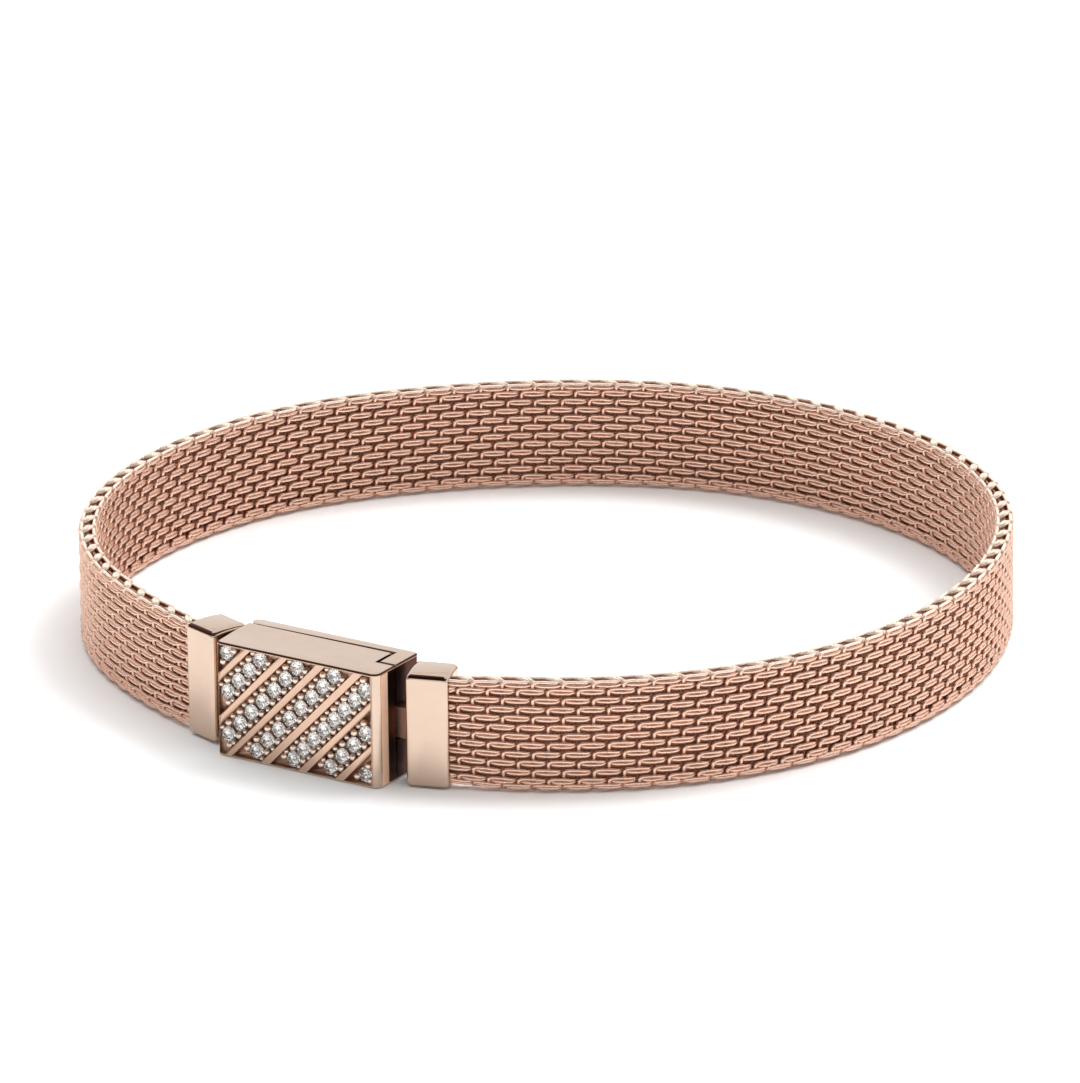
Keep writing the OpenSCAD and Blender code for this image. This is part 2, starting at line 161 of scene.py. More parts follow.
class WeaveSettings(bpy.types.PropertyGroup):
    repeats: IntProperty(
        name="Repeats", description="Repeats of the weave between the end caps", default=88, min=20,
        max=200)
    pieces: IntProperty(
        name="Pieces", description="Lengths that the woven band is divided into", default=4, min=1,
        max=8)
    rows: IntProperty(
        name="Rows", description="Rows of paired wire across the band, an odd number", default=13,
        min=5, max=31)
    thickness: FloatProperty(
        name="Thickness", description="Thickness of the woven band", default=1.25 * MM, **FINE)
    wire: FloatProperty(
        name="Wire radius", description="Radius of the round wire", default=0.130 * MM, **FINE)
    reach_left: FloatProperty(
        name="Left reach", description="Distance from a strand's middle to its left bend",
        default=0.93 * MM, **FINE)
    reach_right: FloatProperty(
        name="Right reach", description="Distance from a strand's middle to its right bend",
        default=0.86 * MM, **FINE)
    tilt: FloatProperty(
        name="Strand tilt", description="Slope of the outer strands, right end lower",
        default=math.radians(2), subtype="ANGLE")
    top_gap: FloatProperty(
        name="Top row spacing", description="Spacing of the top row as a share of the others",
        default=0.78, min=0.5, max=1.0)
    bottom_gap: FloatProperty(
        name="Bottom row spacing", description="Spacing of the bottom row as a share of the others",
        default=0.62, min=0.5, max=1.0)
    edge_roll: FloatProperty(
        name="Edge roll", description="Turn of the paired wires in the outermost rows",
        default=math.radians(30), subtype="ANGLE")
    edge_rise: FloatProperty(
        name="Edge rise", description="Rise of the arches over the edges, in wire radii", default=1.3,
        min=0.0, max=2.0)
    arch_size: FloatProperty(
        name="Arch size", description="Thickness of the wire in the arches as a share of the rest",
        default=1.5, min=1.0, max=2.0)
    arch_spread: FloatProperty(
        name="Arch spread", description="Distance of an arch's wires from its middle, in wire radii",
        default=1.25, min=0.5, max=2.0)
    # the dark sheet of painted shade inside the weave
    shade_sheet_thickness: FloatProperty(
        name="Core thickness", description="Thickness of the dull strip inside the weave",
        default=0.16 * MM, **FINE)
    shade_sheet_margin: FloatProperty(
        name="Core margin", description="Distance of the strip's edges from the band's edges",
        default=0.22 * MM, **FINE)
    end_taper: FloatProperty(
        name="End taper", description="Size of the band at the end caps as a share of its full size",
        default=0.96, min=0.8, max=1.0)
    taper_length: FloatProperty(
        name="Taper length", description="Distance over which the band reaches its full size",
        default=4 * MM, unit="LENGTH")


class MetalSettings(bpy.types.PropertyGroup):
    wire: FloatVectorProperty(
        name="Wire colour", description="Rose gold of the woven wire", default=(0.86, 0.575, 0.45, 1.0),
        **COLOUR)
    # painted shade: darker rose gold for the wire deep inside the band and for the dark sheet in its
    # middle
    core: FloatVectorProperty(
        name="Core colour", description="Dull rose gold deep inside the woven band",
        default=(0.60, 0.32, 0.22, 1.0), **COLOUR)
    # painted light: pale gold for the wire along the band's upper edge, where the top catches the light
    edge: FloatVectorProperty(
        name="Edge colour", description="Pale gold of the wire along the band's upper edge",
        default=(1.0, 0.83, 0.70, 1.0), **COLOUR)
    plate: FloatVectorProperty(
        name="Plate colour", description="Rose gold of the clasp and the end caps",
        default=(0.635, 0.485, 0.385, 1.0), **COLOUR)
    # rougher, as less polished channels, and darker as painted shade in the channels and on the tongue
    # in the gap
    shaded_recess: FloatVectorProperty(
        name="Recess colour", description="Dull rose gold of the channels under the stones",
        default=(0.52, 0.33, 0.24, 1.0), **COLOUR)
    # satin roughness, with a pale colour that paints the light on the front of the box's right side
    satin_painted_light: FloatVectorProperty(
        name="Satin colour", description="Satin rose gold of the stone plate's right side",
        default=(1.0, 0.67, 0.48, 1.0), **COLOUR)
    # painted shade and painted dark reflection: near-black gold on the top rims and on the side beside
    # the tongue
    painted_shade: FloatVectorProperty(
        name="Shade colour", description="Darkened gold under the top edge and beside the tongue",
        default=(0.09, 0.03, 0.02, 1.0), **COLOUR)
    bead: FloatVectorProperty(
        name="Bead colour", description="Bright rose gold of the beads between the stones",
        default=(0.92, 0.74, 0.62, 1.0), **COLOUR)
    bar: FloatVectorProperty(
        name="Bar colour", description="Warmer rose gold of the bars between the stone rows",
        default=(0.625, 0.43, 0.32, 1.0), **COLOUR)


class EdgeSettings(bpy.types.PropertyGroup):
    cap_turn: FloatProperty(
        name="Cap turn", description="Turn of each end cap towards the wrist", default=math.radians(18),
        subtype="ANGLE")
    cap: FloatProperty(
        name="End cap edges", description="Width of the rounding along an end cap's edges",
        default=0.28 * MM, **FINE)
    cap_corner: FloatProperty(
        name="End cap corners", description="Rounding of an end cap's corners, seen from the front",
        default=0.4 * MM, **FINE)
    cap_dome: FloatProperty(
        name="End cap dome", description="Rise of an end cap's domed top and bottom", default=0.15 * MM,
        **FINE)
    box: FloatProperty(
        name="Clasp edges", description="Width of the rounding along the clasp's outer edges",
        default=0.145 * MM, **FINE)
    lid: FloatProperty(
        name="Lid edges", description="Width of the rounding along the lid's parting line",
        default=0.22 * MM, **FINE)
    # where the painted light on the box's right side ends and its painted shade begins
    plate: FloatProperty(
        name="Plate side", description="Depth of the stone plate's bright side, from the front",
        default=1.3 * MM, **FINE)
    bars: FloatProperty(
        name="Bar edges", description="Width of the rounding along the bars and the frame",
        default=0.10 * MM, **FINE)
    near: FloatProperty(
        name="Tolerance", description="How close to a face an edge counts as lying on it",
        default=0.02 * MM, **FINE)


class SettingSettings(bpy.types.PropertyGroup):
    slant: FloatProperty(
        name="Row slant", description="Slant of the stone rows above the horizontal",
        default=math.radians(46), subtype="ANGLE")
    spacing: FloatProperty(
        name="Largest spacing", description="Stones nearer than this share their beads",
        default=1.6 * MM, **FINE)
    channel_depth: FloatProperty(
        name="Channel depth", description="Depth of the channels behind the stone face",
        default=0.5 * MM, **FINE)
    frame: FloatProperty(
        name="Frame", description="Width of the thin frame round the channels", default=0.16 * MM,
        **FINE)
    bead: FloatProperty(
        name="Bead radius", description="Radius of a bead between two stones", default=0.29 * MM,
        **FINE)
    grain: FloatProperty(
        name="Grain radius", description="Radius of a small bead beside a stone", default=0.19 * MM,
        **FINE)
    height: FloatProperty(
        name="Bead height", description="Height of a bead's top above the channel floor",
        default=0.46 * MM, **FINE)
    offset: FloatProperty(
        name="Bead offset", description="Distance of a bead from the middle of its row",
        default=0.58 * MM, **FINE)
    grain_offset: FloatProperty(
        name="Grain offset", description="Distance of a small bead from the middle of its row",
        default=0.70 * MM, **FINE)
    end_reach: FloatProperty(
        name="End reach", description="Distance of a row's last beads past its last stone",
        default=0.46 * MM, **FINE)
    wall: FloatProperty(
        name="Wall distance", description="From the last stones' middles to the right frame's wall",
        default=0.62 * MM, **FINE)
    shift: FloatProperty(
        name="Largest shift", description="A bead that would move farther to fit is left out",
        default=0.16 * MM, **FINE)
    corner: FloatProperty(
        name="Corner reach", description="Distance of a corner stone's beads from its middle",
        default=0.7 * MM, **FINE)


class BraceletSettings(bpy.types.PropertyGroup):
    stage: PointerProperty(type=StageSettings)
    weave: PointerProperty(type=WeaveSettings)
    metal: PointerProperty(type=MetalSettings)
    edges: PointerProperty(type=EdgeSettings)
    setting: PointerProperty(type=SettingSettings)


# Shared helpers

def settings():
    return bpy.context.scene.bracelet


def pick(*objects):
    """Leaves exactly these objects selected, the first one active."""
    bpy.ops.object.select_all(action="DESELECT")
    for o in objects:
        o.select_set(True)
    bpy.context.view_layer.objects.active = objects[0]


def apply_place(piece):
    """Moves the piece's place, turn and size into its mesh."""
    pick(piece)
    bpy.ops.object.transform_apply(location=True, rotation=True, scale=True)


def named(piece, name):
    piece.name = name
    piece.data.name = name
    return piece


# Materials

def new_material(name):
    """A new material and its shader."""
    material = bpy.data.materials.new(name)
    material.use_nodes = True
    return material, material.node_tree.nodes["Principled BSDF"]


def metal(name, colour, roughness, hair_scale, hair_depth):
    """Polished plating: a slow change of tint, and hairlines in its roughness and bump."""
    material, shader = new_material(name)
    tree = material.node_tree
    links = tree.links
    place = tree.nodes.new("ShaderNodeTexCoord")
    shader.inputs["Metallic"].default_value = 1.0

    cloud = tree.nodes.new("ShaderNodeTexNoise")
    cloud.inputs["Scale"].default_value = 900.0
    cloud.inputs["Detail"].default_value = 2.0
    links.new(place.outputs["Object"], cloud.inputs["Vector"])
    tint = tree.nodes.new("ShaderNodeValToRGB")
    for end, spot, share in zip(tint.color_ramp.elements, CLOUD_EDGES, CLOUD_TINTS):
        end.position = spot
        end.color = [min(1.0, c * share) for c in colour[:3]] + [1.0]
    links.new(cloud.outputs["Fac"], tint.inputs["Fac"])
    links.new(tint.outputs["Color"], shader.inputs["Base Color"])

    squeeze = tree.nodes.new("ShaderNodeMapping")
    squeeze.inputs["Scale"].default_value = (1.0, 1.0, 14.0)
    links.new(place.outputs["Object"], squeeze.inputs["Vector"])
    hair = tree.nodes.new("ShaderNodeTexNoise")
    hair.inputs["Scale"].default_value = hair_scale
    hair.inputs["Detail"].default_value = 3.0
    links.new(squeeze.outputs["Vector"], hair.inputs["Vector"])
    rough = tree.nodes.new("ShaderNodeMapRange")
    rough.inputs["To Min"].default_value = roughness * HAIR_ROUGHNESS[0]
    rough.inputs["To Max"].default_value = roughness * HAIR_ROUGHNESS[1]
    links.new(hair.outputs["Fac"], rough.inputs["Value"])
    links.new(rough.outputs["Result"], shader.inputs["Roughness"])
    bump = tree.nodes.new("ShaderNodeBump")
    bump.inputs["Strength"].default_value = hair_depth
    bump.inputs["Distance"].default_value = 0.01 * MM
    links.new(hair.outputs["Fac"], bump.inputs["Height"])
    links.new(bump.outputs["Normal"], shader.inputs["Normal"])
    return material


def stored(tree, name):
    """The value of one of the piece's own attributes."""
    attribute = tree.nodes.new("ShaderNodeAttribute")
    attribute.attribute_name = name
    return attribute.outputs["Fac"]


def mixed(tree, amount, tint, colour):
    """The tint, mixed towards the colour by that amount."""
    mix = tree.nodes.new("ShaderNodeMix")
    mix.data_type = "RGBA"
    tree.links.new(amount, mix.inputs["Factor"])
    tree.links.new(tint, mix.inputs["A"])
    mix.inputs["B"].default_value = colour
    return mix.outputs["Result"]


def wire_metal():
    """Polished on the band's two faces; darker deep inside it, painted shade between the wires, and
    paler and less metallic along its upper edge, painted light, by the attributes core and edge."""
    colours = settings().metal
    material = metal("rose_gold_wire", colours.wire, roughness=0.27, hair_scale=2500.0,
                     hair_depth=0.15)
    tree = material.node_tree
    shader = tree.nodes["Principled BSDF"]
    tint = shader.inputs["Base Color"].links[0].from_socket
    edge = stored(tree, "edge")
    # painted shade: the wire turns darker the deeper it lies inside the band
    tint = mixed(tree, stored(tree, "core"), tint, colours.core)
    tint = mixed(tree, edge, tint, colours.edge)
    tree.links.new(tint, shader.inputs["Base Color"])
    # painted light: along the upper edge the wire is less metallic, so its diffuse part catches the
    # lamps that no reflection shows
    metallic = tree.nodes.new("ShaderNodeMapRange")
    metallic.inputs["To Min"].default_value = 0.85
    metallic.inputs["To Max"].default_value = 0.45
    tree.links.new(edge, metallic.inputs["Value"])
    tree.links.new(metallic.outputs["Result"], shader.inputs["Metallic"])
    shader.inputs["Specular Tint"].default_value = (0.70, 0.62, 0.57, 1.0)
    return material


def shaded_core_metal():
    return metal("rose_gold_shaded_core", settings().metal.core, roughness=0.55,
                 hair_scale=3000.0, hair_depth=0.4)


def plate_metal():
    ready = bpy.data.materials.get("rose_gold_plate")
    return ready or metal("rose_gold_plate", settings().metal.plate, roughness=0.12,
                          hair_scale=1200.0, hair_depth=0.06)


def bar_metal():
    return metal("rose_gold_bars", settings().metal.bar, roughness=0.12,
                 hair_scale=1200.0, hair_depth=0.06)


def shaded_recess_metal():
    ready = bpy.data.materials.get("rose_gold_shaded_recess")
    return ready or metal("rose_gold_shaded_recess", settings().metal.shaded_recess, roughness=0.45,
                          hair_scale=1500.0, hair_depth=0.3)


# satin and painted light: a pale, part-diffuse metal for the front of the box's right side
def satin_painted_light_metal():
    material = metal("rose_gold_satin_painted_light", settings().metal.satin_painted_light, roughness=0.6,
                     hair_scale=1500.0, hair_depth=0.2)
    material.node_tree.nodes["Principled BSDF"].inputs["Metallic"].default_value = 0.6
    return material


def painted_shade_metal():
    """Near-black gold that paints shade and dark reflection: on the rims that mirror the dark room, and
    on the side that mirrors the cap.
    """
    ready = bpy.data.materials.get("rose_gold_painted_shade")
    return ready or metal("rose_gold_painted_shade", settings().metal.painted_shade, roughness=0.30,
                          hair_scale=1500.0, hair_depth=0.2)


def bead_metal():
    return metal("rose_gold_beads", settings().metal.bead, roughness=0.32,
                 hair_scale=1500.0, hair_depth=0.2)


def clear_stone():
    material, shader = new_material("clear_stone")
    shader.inputs["Base Color"].default_value = (1.0, 0.965, 0.925, 1.0)
    shader.inputs["Roughness"].default_value = 0.0
    shader.inputs["IOR"].default_value = 2.2
    shader.inputs["Transmission Weight"].default_value = 1.0
    return material


def dress(node, material):
    """Gives a CAD node its material."""
    slots = frame["nodes"][node].data.materials
    slots.clear()
    slots.append(material)


# Stage

def direction(azimuth, elevation):
    """Unit vector from the bracelet towards that azimuth and elevation."""
    level = math.cos(elevation)
    return Vector((math.sin(azimuth) * level, -math.cos(azimuth) * level, math.sin(elevation)))


def make_camera(stage, middle):
    """A camera at the photo's angle, whose distance and turns are about the middle."""
    towards = direction(stage.azimuth, stage.elevation)
    level_right = Vector((math.cos(stage.azimuth), math.sin(stage.azimuth), 0.0))
    level_up = towards.cross(level_right)
    place = middle + towards * stage.distance
    turn = Matrix.Rotation(stage.roll, 3, towards)
    right, up = turn @ level_right, turn @ level_up
    back = (place - (middle + right * stage.look_right + up * stage.look_up)).normalized()
    right = up.cross(back).normalized()
    up = back.cross(right)
    bpy.ops.object.camera_add(location=place)
    camera = bpy.context.object
    camera.name = "camera"
    camera.rotation_mode = "QUATERNION"
    camera.rotation_quaternion = Matrix((right, up, back)).transposed().to_quaternion()
    camera.data.lens = stage.lens
    camera.data.sensor_width = 36.0
    camera.data.clip_start = 0.05
    camera.data.clip_end = 20.0
    bpy.context.scene.camera = camera


def soft_panel(name, place, target, width, height, brightness):
    """An area light of that brightness, facing the target."""
    bpy.ops.object.light_add(type="AREA", location=place)
    lamp = bpy.context.object
    lamp.name = name
    lamp.rotation_mode = "QUATERNION"
    lamp.rotation_quaternion = (place - target).to_track_quat("Z", "Y")
    lamp.data.shape = "RECTANGLE"
    lamp.data.size = width
    lamp.data.size_y = height
    lamp.data.energy = brightness * math.pi * width * height
    return lamp


def round_lamp(name, place, width, power):
    """A round soft light on the middle of the floor, which no reflection shows."""
    lamp = soft_panel(name, place, Vector(), width, width, 1.0)
    lamp.data.shape = "DISK"
    lamp.data.energy = power
    lamp.visible_glossy = False


class BRACELET_OT_stage(bpy.types.Operator):
    """Adds the camera, the pale floor and the soft light"""
    bl_idname = "bracelet.stage"
    bl_label = "Stage"

    def execute(self, context):
        stage = settings().stage
        low, high = CAD_BOX
        middle = Vector(((low.x + high.x) / 2, (low.y + high.y) / 2, 0.0))
        make_camera(stage, middle + AIM_OFFSET)

        bpy.ops.mesh.primitive_plane_add(size=stage.floor_size, location=(0, 0, low.z))
        floor = named(context.object, "floor")
        material, shader = new_material("pale_floor")
        shader.inputs["Base Color"].default_value = (0.93, 0.93, 0.93, 1.0)
        shader.inputs["Roughness"].default_value = 0.9
        shader.inputs["Specular IOR Level"].default_value = 0.0
        floor.data.materials.append(material)

        world = context.scene.world or bpy.data.worlds.new("room")
        context.scene.world = world
        world.use_nodes = True
        room = world.node_tree.nodes["Background"].inputs
        room["Color"].default_value = (1.0, 1.0, 1.0, 1.0)
        room["Strength"].default_value = stage.dim
        context.scene.view_settings.view_transform = "Standard"

        aside = direction(stage.azimuth + stage.light_azimuth, stage.light_elevation)
        round_lamp("floor_light", aside, FLOOR_LAMP_WIDTH, stage.floor_light)
        round_lamp("fill_light", Vector((0, 0, 1)), FILL_LAMP_WIDTH, stage.fill_light)

        width = 2 * WALL_DISTANCE
        for k, light in enumerate(stage.wall_lights):
            out = direction(stage.azimuth + k * math.pi / 2, 0.0) * WALL_DISTANCE
            rise = WALL_DISTANCE * math.tan(stage.front_top if k == 0 else stage.wall_top)
            level = Vector((0, 0, rise / 2))
            soft_panel(f"wall_{k + 1}", out + level, level, width, rise, light)
        over = direction(stage.azimuth + math.pi, ROOF_ELEVATION) * WALL_DISTANCE
        soft_panel("roof", over, Vector(), width, ROOF_DEPTH, stage.roof_light)
        return {"FINISHED"}


# Woven band

def band_middle(angle):
    """The band's middle in that direction, halfway between its inner and outer faces, or None
    where the clasp lies."""
    band = frame["nodes"][BAND]
    low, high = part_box(BAND)
    level = (low.z + high.z) / 2
    out = Vector((math.cos(angle), math.sin(angle), 0.0))
    hit, inner, _, _ = band.ray_cast(Vector((0, 0, level)), out)
    met, outer, _, _ = band.ray_cast(out * (high - low).length + Vector((0, 0, level)), -out)
    return (inner + outer) / 2 if hit and met else None


def band_route():
    """Points along the band's middle line, from the right end cap's far face round to the left
    one's, and the directions in which the two caps point away from the clasp."""
    turn = settings().edges.cap_turn
    front = math.radians(-90)
    step = math.radians(1.25)
    points = [band_middle(front + k * step) for k in range(int(2 * math.pi / step) + 1)]
    points = [p for p in points if p is not None]
    margin = 0.2 * MM
    ends = []
    for cap, side in ((RIGHT_CAP, 1), (LEFT_CAP, -1)):
        away = Vector((side * math.cos(turn), math.sin(turn), 0))
        face = max(v.co.dot(away) for v in frame["nodes"][cap].data.vertices)
        points = [p for p in points if p.y >= 0 or side * p.x <= 0
                  or p.dot(away) >= face + margin]
        ends.append((away, face))
    (right, right_face), (left, left_face) = ends
    first = points[0] - right * (points[0].dot(right) - right_face)
    last = points[-1] - left * (points[-1].dot(left) - left_face)
    return [first] + points + [last], right, left


def new_curve(name):
    """A curve object with no points yet."""
    bpy.ops.curve.primitive_nurbs_path_add(location=(0, 0, 0))
    curve = named(bpy.context.object, name)
    curve.data.splines.clear()
    curve.data.dimensions = "3D"
    return curve


def add_spline(curve, kind, line):
    """Adds a spline along a line of (point, size) pairs."""
    spline = curve.data.splines.new(kind)
    spline.points.add(len(line) - 1)
    for point, (place, size) in zip(spline.points, line):
        point.co = (*place, 1.0)
        point.radius = size
    return spline


def route_curve():
    """The band's middle line as a curve that runs on into both end caps, how far it runs into
    them, and its length between them."""
    weave = settings().weave
    points, right, left = band_route()
    lead = 1.5 * MM
    before = [points[0] - right * lead * k / 3 for k in (3, 2, 1)]
    after = [points[-1] - left * lead * k / 3 for k in (1, 2, 3)]
    points = before + points + after
    travelled = [0.0]
    for a, b in zip(points, points[1:]):
        travelled.append(travelled[-1] + (b - a).length)
    length = travelled[-1] - 2 * lead
    line = []
    for point, s in zip(points, travelled):
        near = min(max(s - lead, 0.0), max(length + lead - s, 0.0))
        t = min(1.0, near / weave.taper_length)
        line.append((point, weave.end_taper + (1 - weave.end_taper) * t * t * (3 - 2 * t)))
    route = new_curve("route")
    spline = add_spline(route, "NURBS", line)
    spline.order_u = 4
    spline.use_endpoint_u = True
    route.data.resolution_u = 6
    route.data.twist_mode = "Z_UP"
    return route, lead, length


def row_levels(height):
    """Heights of the rows about the band's middle, from the top one down. The outermost rows
    lie rolled over the band's edges, nearer to their neighbours than the other rows."""
    weave = settings().weave
    rolled = weave.wire * (1 + math.cos(weave.edge_roll))
    shares = [1.0] * (weave.rows - 1)
    shares[0] = weave.top_gap
    shares[-1] = weave.bottom_gap
    step = (height - 2 * rolled) / sum(shares)
    levels = [height / 2 - rolled]
    for share in shares:
        levels.append(levels[-1] - step * share)
    return levels


# Each wire of a pair, as seen from the strand's own side of the band: one strand from its right
# end, and the bend after it. A point is a share of the reach to the right, of the depth towards
# the viewer and of the drop to the next row, and a height in wire radii. The right end tucks in.
# The upper wire turns down in front of the left end as an upright bar, and the lower one behind it.
UPPER_STRAND = ((0.95, 0.60, 0.0, 0.35), (0.62, 0.95, 0.0, 0.82), (0.0, 1.0, 0.0, 1.02),
                (-0.55, 0.97, 0.0, 0.90), (-0.84, 1.04, 0.0, 0.85))
UPPER_BEND = ((-1.0, 1.10, 0.06, 0.35), (-1.03, 1.08, 0.30, 0.0), (-1.02, 0.86, 0.50, 0.0),
              (-0.99, -0.25, 0.95, 0.35))
LOWER_STRAND = ((0.95, 0.60, 0.0, -0.35), (0.62, 0.95, 0.0, -0.82), (0.0, 1.0, 0.0, -1.02),
                (-0.50, 0.98, 0.0, -0.95), (-0.76, 0.86, 0.0, -0.80))
LOWER_BEND = ((-0.92, 0.50, 0.16, -0.5), (-1.0, -0.10, 0.60, -0.4), (-0.99, -0.45, 0.92, -0.35))

# The right end of an outermost strand, which runs on into the arch over the edge: its share of
# the reach, and the growth of its height.
EDGE_END = 1.02
EDGE_GROWTH = 2.3


def coil(outer_first, side, depth, levels):
    """The upper (side 1) or lower (side -1) wire of one coil, from the top row to the bottom one,
    about the coil's own axis. X runs along the band to the right as seen from outside and -Y
    faces out. Each row is one strand, outside and inside in turn."""
    weave = settings().weave
    slope = math.tan(weave.tilt)
    last = weave.rows - 1
    strand, bend = (UPPER_STRAND, UPPER_BEND) if side > 0 else (LOWER_STRAND, LOWER_BEND)
    points = []
    for row, level in enumerate(levels):
        outside = (row % 2 == 0) == outer_first
        face = -1 if outside else 1
        roll = weave.edge_roll if row == 0 else -weave.edge_roll if row == last else 0.0
        drop = level - levels[row + 1] if row < last else 0.0
        for k, (along, out, fall, rise) in enumerate(strand if row == last else strand + bend):
            if k == 0 and row in (0, last):
                along, rise = EDGE_END, EDGE_GROWTH * rise
            spread = weave.wire * rise
            x = along * (weave.reach_right if along > 0 else weave.reach_left)
            turn = roll if k < len(strand) else 0.0
            y = face * (depth * out - math.sin(turn) * spread)
            z = level + math.cos(turn) * spread - drop * fall - slope * x * (1 - fall)
            points.append(Vector((-face * x, y, z)))
    return points


def arch(front, back, side, depth, level, rise):
    """Points of the arch over the band's edge, from a front strand's end at x = front to a back
    strand's end at x = back. The wire that lies inwards on the front strand is the left one."""
    weave = settings().weave
    middle = (front + back) / 2
    left = -side * weave.wire * weave.arch_spread
    points = []
    for x, share, lift in ((front, -0.5, 0.6), (middle, 0.0, 1.0), (back, 0.5, 0.6)):
        points.append(Vector((x + left, depth * share, level + rise * lift)))
    return points


def sized(points, size):
    """The points in (point, size) pairs. The size is a share of the wire's thickness."""
    return [(point, size) for point in points]


def wire_line(side, depth, levels, pitch):
    """One wire of a repeat: down an outer-first coil, under the lower edge, up the coil that lies
    half a repeat to the left, and over the upper edge to the middle of the next arch."""
    weave = settings().weave
    right, left = weave.reach_right, weave.reach_left
    rise = weave.wire * weave.edge_rise
    neighbour = Vector((-pitch / 2, 0, 0))
    down = coil(True, side, depth, levels)
    up = [p + neighbour for p in reversed(coil(False, -side, depth, levels))]
    top = arch(right, pitch / 2 - right, side, depth, levels[0], rise)
    bottom = arch(-left, left - pitch / 2, side, depth, levels[-1], -rise)
    ahead = [p - Vector((pitch, 0, 0)) for p in reversed(top)]
    thick = weave.arch_size
    line = sized([top[1], top[0]], thick) + sized(down, 1.0) + sized(bottom, thick)
    return line + sized(up, 1.0) + sized(ahead[:2], thick)


def wire_tube(name, lines):
    """Round wires along lines of (point, size) pairs."""
    tube = new_curve(name)
    for line in lines:
        add_spline(tube, "POLY", line)
    tube.data.twist_mode = "MINIMUM"
    tube.data.bevel_depth = settings().weave.wire
    tube.data.bevel_resolution = 1
    tube.data.use_fill_caps = True
    pick(tube)
    bpy.ops.object.convert(target="MESH")
    return named(bpy.context.object, name)


def mark_shaded_core(piece, depth, levels):
    """Stores how deep each point lies inside the band, 0 on its faces and edges and 1 in its middle,
    for the painted shade between the wires, and how far it lies above the top row's middle, 0 to 1, for
    the painted light along the upper edge."""
    fade = 1.6 * settings().weave.wire
    skin = 0.45
    core = piece.data.attributes.new("core", "FLOAT", "POINT")
    for vertex, value in zip(piece.data.vertices, core.data):
        place = vertex.co
        deep = min(depth - abs(place.y), levels[0] - place.z, place.z - levels[-1])
        value.value = min(1.0, max(0.0, deep / fade - skin))
    # where the wire gets painted light: 0 at the top row's middle, up to 1 above it
    edge = piece.data.attributes.new("edge", "FLOAT", "POINT")
    for vertex, value in zip(piece.data.vertices, edge.data):
        value.value = min(1.0, max(0.0, (vertex.co.z - levels[0]) / fade))


def bend_along(piece, route):
    """Bends a straight piece, made along X, round the route, and applies its modifiers."""
    bend = piece.modifiers.new("bend", "CURVE")
    bend.object = route
    bend.deform_axis = "POS_X"
    pick(piece)
    for modifier in list(piece.modifiers):
        bpy.ops.object.modifier_apply(modifier=modifier.name)


def shade_sheet(start, length, height):
    """A thin dark sheet in the middle of the weave: painted shade, which lets no light through the gaps
    between the wires.
    """
    weave = settings().weave
    thick = weave.shade_sheet_thickness
    bpy.ops.mesh.primitive_grid_add(x_subdivisions=int(length / MM), y_subdivisions=1, size=1,
                                    location=(0, 0, 0), rotation=(math.pi / 2, 0, 0))
    strip = named(bpy.context.object, "woven_shade_sheet")
    apply_place(strip)
    bpy.ops.object.mode_set(mode="EDIT")
    bpy.ops.transform.resize(value=(length, 1, height - 2 * weave.shade_sheet_margin))
    bpy.ops.transform.translate(value=(start + length / 2, -thick / 2, 0))
    bpy.ops.mesh.extrude_region_move(TRANSFORM_OT_translate={"value": (0, thick, 0)})
    bpy.ops.mesh.select_all(action="SELECT")
    bpy.ops.mesh.normals_make_consistent(inside=False)
    bpy.ops.object.mode_set(mode="OBJECT")
    return strip


class BRACELET_OT_woven_band(bpy.types.Operator):
    """Weaves the band of flattened double-wire coils between the end caps"""
    bl_idname = "bracelet.woven_band"
    bl_label = "Woven band"

    def execute(self, context):
        weave = settings().weave
        low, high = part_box(BAND)
        route, lead, length = route_curve()
        pitch = length / weave.repeats
        depth = weave.thickness / 2 - weave.wire
        levels = row_levels(high.z - low.z)
        material = wire_metal()
        each = weave.repeats // weave.pieces
        lines = [wire_line(side, depth, levels, pitch) for side in (1, -1)]
        first_repeat = 0.25 * pitch
        ready = []
        for k in range(weave.pieces):
            start = Vector((lead + first_repeat + k * each * pitch, 0, 0))
            placed = [[(point + start, size) for point, size in line] for line in lines]
            piece = wire_tube(f"woven_band_{k + 1}", placed)
            mark_shaded_core(piece, depth, levels)
            array = piece.modifiers.new("repeat", "ARRAY")
            array.use_relative_offset = False
            array.use_constant_offset = True
            array.constant_offset_displace = (pitch, 0, 0)
            # the last piece has one repeat more, so that the weave reaches into both caps
            array.count = each + (k == weave.pieces - 1)
            bend_along(piece, route)
            bpy.ops.object.shade_smooth()
            piece.data.materials.append(material)
            ready.append(piece)
        tuck = 1 * MM
        # a dark sheet of painted shade through the middle of the weave, so that its gaps look dark
        strip = shade_sheet(lead - tuck, length + 2 * tuck, high.z - low.z)
        bend_along(strip, route)
        strip.data.materials.append(shaded_core_metal())
        ready.append(strip)
        for piece in ready:
            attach(piece, BODY)
            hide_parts(BAND)
        bpy.data.objects.remove(route)
        return {"FINISHED"}


# Clasp and end caps

def metal_copy(node, name):
    """A merged copy of a CAD node, with flat faces whole, ready for its edges to be rounded."""
    pick(frame["nodes"][node])
    bpy.ops.object.duplicate()
    piece = named(bpy.context.object, name)
    for key in list(piece.keys()):
        del piece[key]
    bpy.ops.object.mode_set(mode="EDIT")
    bpy.ops.mesh.select_all(action="SELECT")
    bpy.ops.mesh.remove_doubles(threshold=0.0001 * MM)
    bpy.ops.mesh.dissolve_limited(angle_limit=math.radians(1))
    bpy.ops.object.mode_set(mode="OBJECT")
    return piece


